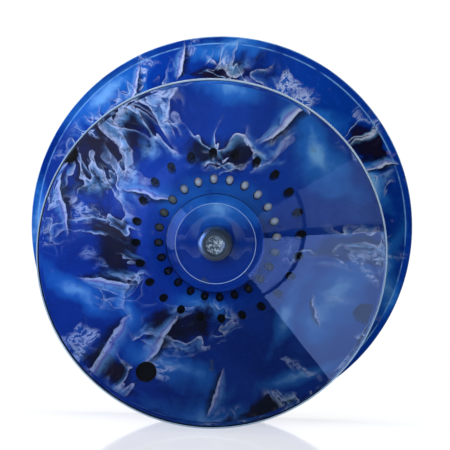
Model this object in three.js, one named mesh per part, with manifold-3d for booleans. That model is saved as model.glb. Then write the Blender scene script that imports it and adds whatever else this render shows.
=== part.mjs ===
// Ball-bearing yo-yo with a printed metal rear half and a smaller clear front half.
//
// Millimetres. The axle lies along Y with the clear half towards -Y, +Z is up, and the
// origin is the centre of the bearing, midway between the two rims.

import * as THREE from 'three';
import { mergeVertices } from 'three/addons/utils/BufferGeometryUtils.js';
import Module from 'manifold-3d';

const wasm = await Module();
wasm.setup();

// ---------------------------------------------------------------- driving dimensions

const HALF_WIDTH = 21;          // each rim's distance from the middle plane
const REAR_RIM_R = 28.75;
const FRONT_RIM_R = 25.5;
const GAP_HALF = 2.3;           // half the string gap at the response faces

const BEARING_OUTER_R = 6.35;
const BEARING_BORE_R = 3.175;
const BEARING_HALF = 2.38;      // half the bearing's width
const BALL_R = 0.794;
const BALL_PITCH_R = 4.7625;
const BALL_COUNT = 10;
const BALL_FACETS = [10, 6];

const STUD_R = 2.45;
const STUD_FRONT_Y = -7.6;
const STUD_LENGTH = 16;

const ROUND_SEGMENTS = 48;      // facets round the two halves
const SMALL_SEGMENTS = 24;      // facets round the small turned pieces
const CURVE_SEGMENTS = 18;      // along a drawn arc of a prism's outline
const CLEARANCE = 0.1;          // between nested turned pieces
const CUT_GAP = 0.3;            // round a piece that sits in a cut pocket
const CUT_PAST = 1;             // how far a cutter reaches past the face it opens

// ---------------------------------------------------------------- materials

function material(color, roughness, metalness, opacity = 1) {
  return new THREE.MeshStandardMaterial({
    color, roughness, metalness, opacity, transparent: opacity < 1,
  });
}

const clearPlastic = material(0xdfe8f2, 0.05, 0, 0.3);
const printedShell = material(0x0b3f9c, 0.25, 0.1);
const bearingSteel = material(0xb9bcc0, 0.22, 1);
const axleSteel = material(0x8d9092, 0.35, 1);
const spacerMetal = material(0xc3c6c9, 0.3, 1);
const cageMetal = material(0xb08d4f, 0.4, 1);
const padSilicone = material(0xd9dde0, 0.6, 0, 0.8);
const capPlastic = material(0x101114, 0.5, 0);

// ---------------------------------------------------------------- geometry helpers

// Closed solid from a loop of [radius, y] points turned about Y, with a flat facet
// centred at the bottom. The loop's direction is put right if the solid is inside out.
function turned(loop, segments = ROUND_SEGMENTS) {
  const area = THREE.ShapeUtils.area(loop.map(([r, y]) => new THREE.Vector2(r, y)));
  const ordered = area > 0 ? [...loop] : [...loop].reverse();
  const points = [...ordered, ordered[0]].map(([r, y]) => new THREE.Vector2(r, y));
  const geometry = new THREE.LatheGeometry(points, segments, Math.PI / segments);
  return weld(geometry);
}

// Keeps only position, and merges the vertices that triangles share.
function weld(geometry) {
  geometry.deleteAttribute('normal');
  geometry.deleteAttribute('uv');
  const merged = mergeVertices(geometry, 1e-4);
  merged.computeVertexNormals();
  return merged;
}

// Points of the arc that rounds the corner b between the straight runs a-b and b-c.
function rounded(a, b, c, radius, steps) {
  const corner = new THREE.Vector2(...b);
  const back = new THREE.Vector2(...a).sub(corner).normalize();
  const onward = new THREE.Vector2(...c).sub(corner).normalize();
  const halfAngle = Math.acos(THREE.MathUtils.clamp(back.dot(onward), -1, 1)) / 2;
  const reach = radius / Math.tan(halfAngle);
  const start = corner.clone().addScaledVector(back, reach);
  const end = corner.clone().addScaledVector(onward, reach);
  const curve = new THREE.QuadraticBezierCurve(start, corner, end);
  return curve.getPoints(steps).map((point) => [point.x, point.y]);
}

// Mirrors a profile to the other side of the middle plane.
function mirrored(loop) {
  return loop.map(([r, y]) => [r, -y]);
}

// Prism along Y from the outline's points in X and Z, between two heights in Y.
function prismAlongY(shape, fromY, toY) {
  const options = { depth: toY - fromY, bevelEnabled: false, curveSegments: CURVE_SEGMENTS };
  const geometry = new THREE.ExtrudeGeometry(shape, options);
  geometry.rotateX(Math.PI / 2);
  geometry.translate(0, toY, 0);
  return weld(geometry);
}

function polygonShape(radius, sides, turn = 0) {
  const points = Array.from({ length: sides }, (_, k) => {
    const angle = turn + (2 * Math.PI * k) / sides;
    return new THREE.Vector2(radius * Math.cos(angle), radius * Math.sin(angle));
  });
  return new THREE.Shape(points);
}

// A point at a radius and an angle in the plane across the axle.
function around(radius, degrees) {
  const angle = THREE.MathUtils.degToRad(degrees);
  return [radius * Math.cos(angle), radius * Math.sin(angle)];
}

function toSolid(geometry) {
  const welded = weld(geometry.clone());
  const vertProperties = new Float32Array(welded.attributes.position.array);
  const triVerts = new Uint32Array(welded.index.array);
  return new wasm.Manifold(new wasm.Mesh({ numProp: 3, vertProperties, triVerts }));
}

function toGeometry(solid) {
  const mesh = solid.getMesh();
  const geometry = new THREE.BufferGeometry();
  geometry.setAttribute('position', new THREE.BufferAttribute(mesh.vertProperties, 3));
  geometry.setIndex(new THREE.BufferAttribute(mesh.triVerts, 1));
  geometry.computeVertexNormals();
  return geometry;
}

function cut(geometry, tools) {
  return toGeometry(tools.reduce((solid, tool) => solid.subtract(toSolid(tool)), toSolid(geometry)));
}

const group = new THREE.Group();

function add(name, geometry, finish) {
  const mesh = new THREE.Mesh(geometry, finish);
  mesh.name = name;
  group.add(mesh);
}

// ---------------------------------------------------------------- hub, shared by the halves

const SPACER = {
  boreR: STUD_R + CLEARANCE,
  seatR: 3.1,                   // carries the bearing's bore
  seatFrom: 0.2,
  collarR: 4.15,                // the step that meets the inner race
  collarFrom: 2.43,
  flangeFrom: 2.75,             // a wide flange stands clear of the outer race
  flangeTo: 3.25,
};
const FRONT_FLANGE_R = 8.1;     // hides the bearing behind the clear hub
const REAR_FLANGE_R = SPACER.collarR;

const HUB = {
  boreR: STUD_R + CLEARANCE,
  pocketY: SPACER.flangeTo + CLEARANCE,
  recessR: BEARING_OUTER_R + 0.2,
  recessY: 2.9,
};

// ---------------------------------------------------------------- clear front half

const FRONT = {
  pocketR: FRONT_FLANGE_R + CLEARANCE,
  wallFootR: 8.3,               // the flared wall starts just outside the pocket
  wallTop: [25.0, 19.1],
  lipFrom: 19.5,                // the rim's outer edge, from here to the rim face
  dishR: 24.8,                  // inner edge of the rim face
  hubR: 5.85,                   // the flat-bottomed hub in the middle of the dish
  hubY: 5.5,
  floorBend: [4.4, 5.1],        // the hub's floor sinks gently to here, then to the bore
  floorY: 5.0,
  edge: 0.2,                    // chamfer of the rim's outer edge
};

function frontHalf() {
  const profile = [
    [HUB.boreR, HUB.pocketY],
    [FRONT.pocketR, HUB.pocketY],
    [FRONT.pocketR, GAP_HALF],
    [FRONT.wallFootR, GAP_HALF],
    FRONT.wallTop,
    [FRONT_RIM_R, FRONT.lipFrom],
    [FRONT_RIM_R, HALF_WIDTH - FRONT.edge],
    [FRONT_RIM_R - FRONT.edge, HALF_WIDTH],
    [FRONT.dishR, HALF_WIDTH],
    [FRONT.hubR, FRONT.hubY],
    FRONT.floorBend,
    [HUB.boreR, FRONT.floorY],
  ];
  return turned(mirrored(profile));
}

// ---------------------------------------------------------------- printed rear half

const REAR = {
  wallFootR: 11.05,             // where the flat face would meet the flared wall
  footRounding: 1.6,
  footSteps: 4,
  wallTop: [27.75, 19.9],       // a narrow lip runs from here out to the rim
  lipY: 20.0,
  edge: 0.15,                   // chamfer of the rim's two edges
  rebateR: 25.6,                // seat of the cap in the mouth of the rear dish
  rebateY: 19.3,
  dishMouthR: 24.6,
  dishFoot: [12.6, 6.5],
  floorR: 11.4,
  floorY: 5.6,
  bossR: 6.7,
  bossY: 9.4,
};
const NUT = { acrossFlats: 8, fromY: 5.2, thickness: 4, boreR: STUD_R + CLEARANCE };
const NUT_CORNER_R = NUT.acrossFlats / Math.sqrt(3);

const VENT_COUNT = 24;
const VENT_PHASE_DEG = 4.4;
const OUTER_VENT = { ringR: 12.1, holeR: 0.63, fromY: 1, toY: 8 };
const INNER_VENT = { ringR: 9.2, holeR: 0.6, fromY: 1, toY: 8 };
const RIM_HOLE = { ringR: 21.8, holeR: 1.37, fromY: 10, toY: 19.9, sides: 16 };
const RIM_HOLE_ANGLES_DEG = [156, 244, 331];
const VENT_SIDES = 8;

function rearProfile() {
  const foot = [REAR.wallFootR, GAP_HALF];
  return [
    [HUB.boreR, HUB.pocketY],
    [REAR_FLANGE_R + CLEARANCE, HUB.pocketY],
    [REAR_FLANGE_R + CLEARANCE, HUB.recessY],
    [HUB.recessR, HUB.recessY],
    [HUB.recessR, GAP_HALF],
    ...rounded([HUB.recessR, GAP_HALF], foot, REAR.wallTop, REAR.footRounding, REAR.footSteps),
    REAR.wallTop,
    [REAR_RIM_R - REAR.edge, REAR.lipY],
    [REAR_RIM_R, REAR.lipY + REAR.edge],
    [REAR_RIM_R, HALF_WIDTH - REAR.edge],
    [REAR_RIM_R - REAR.edge, HALF_WIDTH],
    [REAR.rebateR, HALF_WIDTH],
    [REAR.rebateR, REAR.rebateY],
    [REAR.dishMouthR, REAR.rebateY],
    REAR.dishFoot,
    [REAR.floorR, REAR.floorY],
    [REAR.bossR, REAR.floorY],
    [REAR.bossR, REAR.bossY],
    [HUB.boreR, REAR.bossY],
  ];
}

// A round cutter or stud along Y, at an angle on a ring of them.
function drill({ ringR, holeR, fromY, toY }, degrees, sides) {
  const [x, z] = around(ringR, degrees);
  const tool = prismAlongY(polygonShape(holeR, sides, Math.PI / sides), fromY, toY);
  return tool.translate(x, 0, z);
}

function rearHalf() {
  const outline = polygonShape(NUT_CORNER_R + CUT_GAP, 6);
  const tools = [prismAlongY(outline, NUT.fromY - CUT_GAP, REAR.bossY + CUT_PAST)];
  for (let k = 0; k < VENT_COUNT; k += 1) {
    const degrees = VENT_PHASE_DEG + (360 * k) / VENT_COUNT;
    tools.push(drill(OUTER_VENT, degrees, VENT_SIDES));
    tools.push(drill(INNER_VENT, degrees, VENT_SIDES));
  }
  for (const degrees of RIM_HOLE_ANGLES_DEG) {
    tools.push(drill(RIM_HOLE, degrees, RIM_HOLE.sides));
  }
  return cut(turned(rearProfile()), tools);
}

const CAP = { discTopY: 20.5, rimTopY: 20.8, edge: 0.2, rimWidth: 1.4, rimSlope: 0.5 };

// A thin disc with a stiffening rim that closes the rear dish.
function rearCap() {
  const outerR = REAR.rebateR - CUT_GAP;
  const innerY = REAR.rebateY + CUT_GAP;
  return turned([
    [0, innerY],
    [outerR, innerY],
    [outerR, CAP.rimTopY - CAP.edge],
    [outerR - CAP.edge, CAP.rimTopY],
    [outerR - CAP.rimWidth, CAP.rimTopY],
    [outerR - CAP.rimWidth - CAP.rimSlope, CAP.discTopY],
    [0, CAP.discTopY],
  ]);
}

// ---------------------------------------------------------------- axle pieces

const SOCKET = { acrossFlats: 2.5, depth: 1.4 };

function axleStud() {
  const end = STUD_FRONT_Y + STUD_LENGTH;
  const chamfer = 0.5;
  const body = turned([
    [0, STUD_FRONT_Y],
    [STUD_R - chamfer, STUD_FRONT_Y],
    [STUD_R, STUD_FRONT_Y + chamfer],
    [STUD_R, end - chamfer],
    [STUD_R - chamfer, end],
    [0, end],
  ], SMALL_SEGMENTS);
  const hexagon = polygonShape(SOCKET.acrossFlats / Math.sqrt(3), 6);
  const socket = prismAlongY(hexagon, STUD_FRONT_Y - CUT_PAST, STUD_FRONT_Y + SOCKET.depth);
  return cut(body, [socket]);
}

function rearNut() {
  const outline = polygonShape(NUT_CORNER_R, 6);
  const bore = new THREE.Path();
  bore.absarc(0, 0, NUT.boreR, 0, 2 * Math.PI, true);
  outline.holes.push(bore);
  return prismAlongY(outline, NUT.fromY, NUT.fromY + NUT.thickness);
}

// A flanged sleeve: its seat carries the bearing's bore, its flange spaces the half off.
function spacerProfile(flangeR) {
  const seat = [
    [SPACER.boreR, SPACER.seatFrom],
    [SPACER.seatR, SPACER.seatFrom],
    [SPACER.seatR, SPACER.collarFrom],
    [SPACER.collarR, SPACER.collarFrom],
  ];
  const wideFlange = [
    [SPACER.collarR, SPACER.flangeFrom],
    [flangeR, SPACER.flangeFrom],
  ];
  const back = [
    [flangeR, SPACER.flangeTo],
    [SPACER.boreR, SPACER.flangeTo],
  ];
  return flangeR > SPACER.collarR ? [...seat, ...wideFlange, ...back] : [...seat, ...back];
}

// ---------------------------------------------------------------- string response ring

// A silicone ring behind the rear face, with a stud through each hole of the inner ring.
const STUDDED_RING = { innerR: 8.3, outerR: 10.1, fromY: REAR.floorY + CLEARANCE, toY: 6.7 };
const GRIP_STUD = { ringR: INNER_VENT.ringR, holeR: 0.5, fromY: 2.45, toY: 6.2 };

function responseRing() {
  const ring = turned([
    [STUDDED_RING.innerR, STUDDED_RING.fromY],
    [STUDDED_RING.outerR, STUDDED_RING.fromY],
    [STUDDED_RING.outerR, STUDDED_RING.toY],
    [STUDDED_RING.innerR, STUDDED_RING.toY],
  ]);
  let solid = toSolid(ring);
  for (let k = 0; k < VENT_COUNT; k += 1) {
    const degrees = VENT_PHASE_DEG + (360 * k) / VENT_COUNT;
    solid = solid.add(toSolid(drill(GRIP_STUD, degrees, VENT_SIDES)));
  }
  return toGeometry(solid);
}

// ---------------------------------------------------------------- bearing

const GROOVE_R = 0.86;          // radius of the ball grooves
const GROOVE_STEPS = 5;
const INNER_SHOULDER_R = 4.2;
const OUTER_SHOULDER_R = 5.32;
const SHIELD = { innerR: 4.4, outerR: 5.8, fromY: 1.85, toY: 2.08 };
const SNAP_RING = { innerR: 5.4, outerR: 5.78, fromY: 2.13, toY: 2.34, gapDeg: 24 };
const SHIELD_SEAT_R = 5.9;
const SHIELD_SEAT_Y = 1.78;
const CAGE = { innerR: 4.42, outerR: 5.08, fromY: -0.45, toY: 1.5 };

// Points of a ball groove between two shoulders at one radius.
function groove(shoulderR) {
  const depthSide = Math.sign(shoulderR - BALL_PITCH_R);
  const reach = Math.sqrt(GROOVE_R ** 2 - (shoulderR - BALL_PITCH_R) ** 2);
  const half = Math.asin(reach / GROOVE_R);
  return Array.from({ length: GROOVE_STEPS + 1 }, (_, k) => {
    const angle = -half + (2 * half * k) / GROOVE_STEPS;
    return [BALL_PITCH_R + depthSide * GROOVE_R * Math.cos(angle), GROOVE_R * Math.sin(angle)];
  });
}

function innerRace() {
  return turned([
    [BEARING_BORE_R, -BEARING_HALF],
    [INNER_SHOULDER_R, -BEARING_HALF],
    ...groove(INNER_SHOULDER_R),
    [INNER_SHOULDER_R, BEARING_HALF],
    [BEARING_BORE_R, BEARING_HALF],
  ], SMALL_SEGMENTS);
}

function outerRace() {
  return turned([
    [BEARING_OUTER_R, -BEARING_HALF],
    [SHIELD_SEAT_R, -BEARING_HALF],
    [SHIELD_SEAT_R, -SHIELD_SEAT_Y],
    [OUTER_SHOULDER_R, -SHIELD_SEAT_Y],
    ...groove(OUTER_SHOULDER_R),
    [OUTER_SHOULDER_R, SHIELD_SEAT_Y],
    [SHIELD_SEAT_R, SHIELD_SEAT_Y],
    [SHIELD_SEAT_R, BEARING_HALF],
    [BEARING_OUTER_R, BEARING_HALF],
  ], SMALL_SEGMENTS);
}

function shieldProfile() {
  return [
    [SHIELD.innerR, SHIELD.fromY],
    [SHIELD.outerR, SHIELD.fromY],
    [SHIELD.outerR, SHIELD.toY],
    [SHIELD.innerR, SHIELD.toY],
  ];
}

// An open wire ring that holds a shield in its seat.
function snapRing(side) {
  const start = THREE.MathUtils.degToRad(90 + SNAP_RING.gapDeg / 2);
  const end = THREE.MathUtils.degToRad(450 - SNAP_RING.gapDeg / 2);
  const outline = new THREE.Shape();
  outline.absarc(0, 0, SNAP_RING.outerR, start, end, false);
  outline.absarc(0, 0, SNAP_RING.innerR, end, start, true);
  const [near, far] = [SNAP_RING.fromY * side, SNAP_RING.toY * side].sort((a, b) => a - b);
  return prismAlongY(outline, near, far);
}

function ballAt(index) {
  const [x, z] = around(BALL_PITCH_R, (360 * index) / BALL_COUNT);
  return weld(new THREE.SphereGeometry(BALL_R, ...BALL_FACETS).translate(x, 0, z));
}

// A crown ring whose pockets hold the balls apart.
function ballCage() {
  const crown = turned([
    [CAGE.innerR, CAGE.fromY],
    [CAGE.outerR, CAGE.fromY],
    [CAGE.outerR, CAGE.toY],
    [CAGE.innerR, CAGE.toY],
  ], SMALL_SEGMENTS);
  const pockets = Array.from({ length: BALL_COUNT }, (_, k) => {
    const [x, z] = around(BALL_PITCH_R, (360 * k) / BALL_COUNT);
    return new THREE.SphereGeometry(BALL_R + CUT_GAP, ...BALL_FACETS).translate(x, 0, z);
  });
  return cut(crown, pockets);
}

// ---------------------------------------------------------------- assembly

add('front_half', frontHalf(), clearPlastic);
add('rear_half', rearHalf(), printedShell);
add('rear_cap', rearCap(), capPlastic);
add('axle_stud', axleStud(), axleSteel);
add('rear_nut', rearNut(), axleSteel);
add('front_spacer', turned(mirrored(spacerProfile(FRONT_FLANGE_R)), SMALL_SEGMENTS), printedShell);
add('rear_spacer', turned(spacerProfile(REAR_FLANGE_R), SMALL_SEGMENTS), spacerMetal);
add('response_ring', responseRing(), padSilicone);
add('bearing_inner_race', innerRace(), bearingSteel);
add('bearing_outer_race', outerRace(), bearingSteel);
add('bearing_front_shield', turned(mirrored(shieldProfile()), SMALL_SEGMENTS), bearingSteel);
add('bearing_rear_shield', turned(shieldProfile(), SMALL_SEGMENTS), bearingSteel);
add('bearing_front_snap_ring', snapRing(-1), bearingSteel);
add('bearing_rear_snap_ring', snapRing(1), bearingSteel);
add('bearing_cage', ballCage(), cageMetal);
for (let k = 0; k < BALL_COUNT; k += 1) {
  add(`bearing_ball_${k + 1}`, ballAt(k), bearingSteel);
}

export default group;
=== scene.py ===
"""Looks of a ball-bearing yo-yo: a clear front half and a printed rear half on a steel axle.

Sizes below are in millimetres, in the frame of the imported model: the axle lies along Y with
the clear half towards -Y, +Z is up and the origin is the bearing's centre. MM turns them
into metres.
"""
import math

import bmesh
import bpy
from mathutils import Matrix, Vector


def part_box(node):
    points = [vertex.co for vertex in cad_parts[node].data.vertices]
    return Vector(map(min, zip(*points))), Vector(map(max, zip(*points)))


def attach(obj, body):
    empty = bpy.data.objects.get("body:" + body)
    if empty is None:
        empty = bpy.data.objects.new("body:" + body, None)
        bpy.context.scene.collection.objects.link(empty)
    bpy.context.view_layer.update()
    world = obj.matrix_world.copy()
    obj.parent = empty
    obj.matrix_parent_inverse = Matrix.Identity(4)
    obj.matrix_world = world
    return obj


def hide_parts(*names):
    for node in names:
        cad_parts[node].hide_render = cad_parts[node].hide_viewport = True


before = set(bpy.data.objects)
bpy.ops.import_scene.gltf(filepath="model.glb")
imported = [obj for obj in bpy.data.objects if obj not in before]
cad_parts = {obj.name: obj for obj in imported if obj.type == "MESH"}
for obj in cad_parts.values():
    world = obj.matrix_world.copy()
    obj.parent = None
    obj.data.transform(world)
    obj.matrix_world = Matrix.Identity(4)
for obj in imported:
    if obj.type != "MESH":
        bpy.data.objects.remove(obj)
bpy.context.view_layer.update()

MM = 0.001
TAU = 2 * math.pi

# ------------------------------------------------------------------ driving dimensions

HALF_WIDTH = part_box("rear_half")[1].y / MM
CAD_FACETS = 48
FACET_FLAT = math.cos(math.pi / CAD_FACETS)     # the CAD's facets sit this much inside the round
REAR_RIM_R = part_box("rear_half")[1].z / MM / FACET_FLAT
REAR_LIP_R = REAR_RIM_R - 1.0                   # where the flared wall meets the rim's narrow lip
FRONT_RIM_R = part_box("front_half")[1].z / MM / FACET_FLAT
GAP_HALF = 2.3
STUD_FRONT_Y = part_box("axle_stud")[0].y / MM
STUD_REAR_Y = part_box("axle_stud")[1].y / MM
STUD_R = 2.45
CLEARANCE = 0.1                                 # between nested turned pieces

FINE = 192                                      # segments round the two halves
SMALL = 96                                      # segments round the small turned pieces
SHARP_DEG = 32                                  # an edge that turns more than this stays crisp


# ------------------------------------------------------------------ mesh building

def fillet(before, corner, after, radius, steps=5):
    """Points of the arc that rounds one corner of a profile."""
    a, b, c = (Vector(p) for p in (before, corner, after))
    back, onward = (a - b).normalized(), (c - b).normalized()
    half = back.angle(onward) / 2
    reach = min(radius / math.tan(half), 0.49 * (a - b).length, 0.49 * (c - b).length)
    centre = b + (back + onward).normalized() * (reach / math.cos(half))
    start, end = b + back * reach - centre, b + onward * reach - centre
    arm = start.length
    return [centre + start.slerp(end, k / steps) * arm for k in range(steps + 1)]


def rounded(corners, closed=True):
    """A profile of (radius, y) points from corners (radius, y, rounding)."""
    count = len(corners)
    points = []
    for k, (r, y, rounding) in enumerate(corners):
        if rounding == 0 or (not closed and k in (0, count - 1)):
            points.append(Vector((r, y)))
            continue
        before, after = corners[k - 1][:2], corners[(k + 1) % count][:2]
        points.extend(fillet(before, (r, y), after, rounding))
    return points


def mirrored(corners):
    """The same profile on the clear half's side."""
    return [(r, -y, rounding) for r, y, rounding in corners]


def new_piece(name, mesh_maker, sharp_deg=SHARP_DEG):
    """An object from a bmesh, smooth but for its sharp edges, with its faces pointing out."""
    bm = bmesh.new()
    mesh_maker(bm)
    bmesh.ops.remove_doubles(bm, verts=bm.verts, dist=1e-8)
    bmesh.ops.recalc_face_normals(bm, faces=bm.faces)
    mesh = bpy.data.meshes.new(name)
    bm.to_mesh(mesh)
    bm.free()
    mesh.shade_smooth()
    mesh.set_sharp_from_angle(angle=math.radians(sharp_deg))
    piece = bpy.data.objects.new(name, mesh)
    bpy.context.scene.collection.objects.link(piece)
    return piece


def skin(bm, rings, closed):
    """Quads between neighbouring rings of vertices, and from the last to the first if closed."""
    last = len(rings) if closed else len(rings) - 1
    for k in range(last):
        near, far = rings[k], rings[(k + 1) % len(rings)]
        for i in range(len(near)):
            j = (i + 1) % len(near)
            corners = [near[i], near[j], far[j], far[i]]
            bm.faces.new(corners)


def lofted(name, ring_makers, segments=SMALL, closed=True, sharp_deg=SHARP_DEG):
    """A solid skinned over rings round the axle. Each ring maker gives (radius, y) at an angle."""
    def build(bm):
        rings = []
        for maker in ring_makers:
            ring = []
            for i in range(segments):
                angle = TAU * i / segments
                r, y = maker(angle)
                ring.append(bm.verts.new((r * math.sin(angle) * MM, y * MM, r * math.cos(angle) * MM)))
            rings.append(ring)
        skin(bm, rings, closed)
        dissolve_axis(bm)
    return new_piece(name, build, sharp_deg)


def around(radius, degrees):
    """The place (x, z) at an angle on a circle round the axle."""
    return radius * math.cos(math.radians(degrees)), radius * math.sin(math.radians(degrees))


def ring_of_verts(bm, centre, radius, y, sides):
    """A circle of vertices across the axle's direction, about a centre (x, z)."""
    x0, z0 = centre
    ring = []
    for k in range(sides):
        angle = TAU * k / sides
        place_mm = (x0 + radius * math.cos(angle), y, z0 + radius * math.sin(angle))
        ring.append(bm.verts.new(tuple(v * MM for v in place_mm)))
    return ring


def dissolve_axis(bm):
    """Merges the ring of vertices that lies on the axle's own line into one point."""
    on_axis = [v for v in bm.verts if math.hypot(v.co.x, v.co.z) < 1e-7]
    if on_axis:
        bmesh.ops.remove_doubles(bm, verts=on_axis, dist=1e-6)


def turned(name, corners, segments=SMALL, closed=True):
    """A solid turned about the axle from a profile of corners."""
    profile = rounded(corners, closed)
    return lofted(name, [lambda angle, p=p: (p[0], p[1]) for p in profile], segments, closed)


def place(piece, body, slot, *nodes):
    """Ties a piece to its body, and hides the nodes that it stands for. The slot is not used."""
    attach(piece, body)
    if nodes:
        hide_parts(*nodes)
    return piece


def finish_with(piece, *materials):
    """Gives a piece its materials, in their order."""
    piece.data.materials.clear()
    for material in materials:
        piece.data.materials.append(material)
    return piece


# ------------------------------------------------------------------ node helpers

def new_material(name):
    material = bpy.data.materials.new(name)
    material.use_nodes = True
    material.node_tree.nodes.clear()
    return material


def put(tree, kind, settings=None, **inputs):
    """Adds a node. An input is given a value or another node's output.

    In an input's name _ stands for a space, and i0, i1 and so on are inputs by their number.
    """
    node = tree.nodes.new(kind)
    for key, value in (settings or {}).items():
        setattr(node, key, value)
    for key, value in inputs.items():
        socket = node.inputs[int(key[1:])] if key[1:].isdigit() else node.inputs[key.replace("_", " ")]
        if isinstance(value, bpy.types.NodeSocket):
            tree.links.new(value, socket)
        else:
            socket.default_value = value
    return node


def math_node(tree, operation, a, b=0.0, c=0.0, clamp=False):
    settings = {"operation": operation, "use_clamp": clamp}
    return put(tree, "ShaderNodeMath", settings, i0=a, i1=b, i2=c).outputs[0]


def vector_math(tree, operation, a, b):
    return put(tree, "ShaderNodeVectorMath", {"operation": operation}, i0=a, i1=b)


def mix_colour(tree, factor, a, b):
    return put(tree, "ShaderNodeMix", {"data_type": "RGBA"}, i0=factor, i6=a, i7=b).outputs[2]


def step_between(tree, value, low, high):
    """0 below low, 1 above high and a smooth rise between, or a fall if low is above high."""
    settings = {"interpolation_type": "SMOOTHSTEP"}
    return put(tree, "ShaderNodeMapRange", settings, Value=value, i1=low, i2=high).outputs[0]


def noise(tree, vector, scale, detail=2.0, roughness=0.5, distortion=0.0):
    return put(tree, "ShaderNodeTexNoise", None, Vector=vector, Scale=scale, Detail=detail,
               Roughness=roughness, Distortion=distortion)


def colour(red, green, blue):
    """A colour given as it looks on screen, 0 to 255, for a shader's socket."""
    def linear(value):
        value /= 255
        return value / 12.92 if value <= 0.04045 else ((value + 0.055) / 1.055) ** 2.4
    return (linear(red), linear(green), linear(blue), 1.0)


def darker(tint, share):
    """The tint at a share of its brightness."""
    return tuple(share * c for c in tint[:3]) + (1,)


def object_mm(tree):
    """The place on the piece, in millimetres."""
    place_on = put(tree, "ShaderNodeTexCoord").outputs["Object"]
    return put(tree, "ShaderNodeMapping", None, Vector=place_on, Scale=(1 / MM,) * 3).outputs[0]


def from_axle(tree):
    """The distance from the axle's line, in millimetres."""
    parts = put(tree, "ShaderNodeSeparateXYZ", None, Vector=object_mm(tree)).outputs
    squares = [math_node(tree, "MULTIPLY", parts[k], parts[k]) for k in (0, 2)]
    return math_node(tree, "SQRT", math_node(tree, "ADD", *squares))


def surface_output(tree, shader):
    put(tree, "ShaderNodeOutputMaterial", None, Surface=shader)


def bump(tree, height, strength, distance_mm):
    return put(tree, "ShaderNodeBump", None, Strength=strength, Distance=distance_mm * MM,
               Height=height).outputs[0]


# ------------------------------------------------------------------ the marbled print

# Clouds of the print: hour on a clock face, radius, half length, half width and lean in
# degrees. A cloud with no lean lies along its circle.
DARK_CLOUDS = [
    (10.2, 19, 9, 4.0, 0), (8.7, 15, 6, 2.2, 0), (12, 12, 6, 1.6, 0), (12, 24, 5, 2.2, 0),
    (2, 25, 4, 1.4, 0), (3.2, 20, 5, 2.0, 90), (4.2, 24, 3, 1.0, 0), (5.5, 25, 5, 1.2, 0),
    (6.8, 14, 5, 2.4, 30), (7.2, 25, 4, 1.4, 0),
]
AZURE_CLOUDS = [
    (10.6, 27, 7, 2.0, 0), (9, 28, 6, 1.4, 0), (12, 27.5, 5, 1.0, 0), (12, 18, 4, 1.2, 0),
    (2.4, 24, 4, 1.0, 20), (6.6, 20, 6, 1.8, 0), (7.6, 17, 3, 1.6, 0), (5, 22, 5, 0.8, 0),
    (6.4, 10, 4, 1.4, 0), (12, 5.5, 6, 2.4, 0), (8.2, 21, 5, 1.6, 30), (1.1, 22, 5, 1.6, 10),
    (3.4, 26, 6, 1.2, 0), (10.8, 22, 5, 1.0, 40), (6.1, 25, 6, 1.7, 0), (4.6, 15, 5, 1.0, 20),
    (4, 18, 6, 2.4, 0), (1.7, 16, 6, 2.2, 0),
]
# Folds of the film. The dark side is towards the axle, or away from it where the width is negative.
FOLDS = [
    (7.4, 22, 6, 1.2, 100), (6.9, 17, 5, -0.9, 80), (11.5, 26, 3, 0.8, 60), (1, 17, 4, 0.8, 60),
    (6, 22, 4, 0.7, 70), (4.2, 17, 3, 0.4, 40), (10, 12, 4, 0.6, -60), (9.3, 21, 5, 0.7, 15),
    (2.2, 26, 3, 0.6, 70), (8.2, 17, 4, 0.8, 60), (10.9, 25, 4, 0.7, 50),
]
ROYAL, DEEP_ROYAL, AZURE, PALE_AZURE = (3, 54, 148), (2, 44, 130), (32, 108, 192), (124, 182, 230)
NEAR_BLACK, BROWN_BLACK, NAVY = (8, 11, 38), (26, 18, 38), (6, 20, 78)
FROTH, LAVENDER, OLIVE = (198, 210, 236), (132, 128, 200), (84, 98, 52)


def clock_place(hour, radius):
    """Where an hour on a clock face lies at a radius, as (x, z)."""
    angle = TAU / 4 - TAU * hour / 12
    return radius * math.cos(angle), radius * math.sin(angle)


def shift_by_noise(tree, vector, scale, amount_mm, detail=2.0):
    """The vector moved about by noise."""
    field = noise(tree, vector, scale, detail).outputs["Color"]
    centred = vector_math(tree, "SUBTRACT", field, (0.5, 0.5, 0.5)).outputs[0]
    shift = vector_math(tree, "MULTIPLY", centred, (amount_mm, amount_mm, 0)).outputs[0]
    return vector_math(tree, "ADD", vector, shift).outputs[0]


def on_cloud(tree, vector, cloud):
    """The place along and across a cloud, where its edges are at 1 and -1."""
    hour, radius, half_length, half_width, lean = cloud
    x, z = clock_place(hour, radius)
    angle = math.radians(lean) - TAU * hour / 12
    cosine, sine = math.cos(angle), math.sin(angle)
    from_middle = vector_math(tree, "SUBTRACT", vector, (x, z, 0)).outputs[0]
    along = vector_math(tree, "DOT_PRODUCT", from_middle, (cosine / half_length, sine / half_length, 0))
    across = vector_math(tree, "DOT_PRODUCT", from_middle, (-sine / half_width, cosine / half_width, 0))
    return along.outputs["Value"], across.outputs["Value"]


def cloud_distance(tree, vector, clouds):
    """0 at the middle of the nearest cloud and 1 at its edge."""
    nearest = None
    for cloud in clouds:
        along, across = on_cloud(tree, vector, cloud)
        along_squared = math_node(tree, "MULTIPLY", along, along)
        squared = math_node(tree, "MULTIPLY_ADD", across, across, along_squared)
        nearest = squared if nearest is None else math_node(tree, "MINIMUM", nearest, squared)
    return math_node(tree, "SQRT", nearest)


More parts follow.
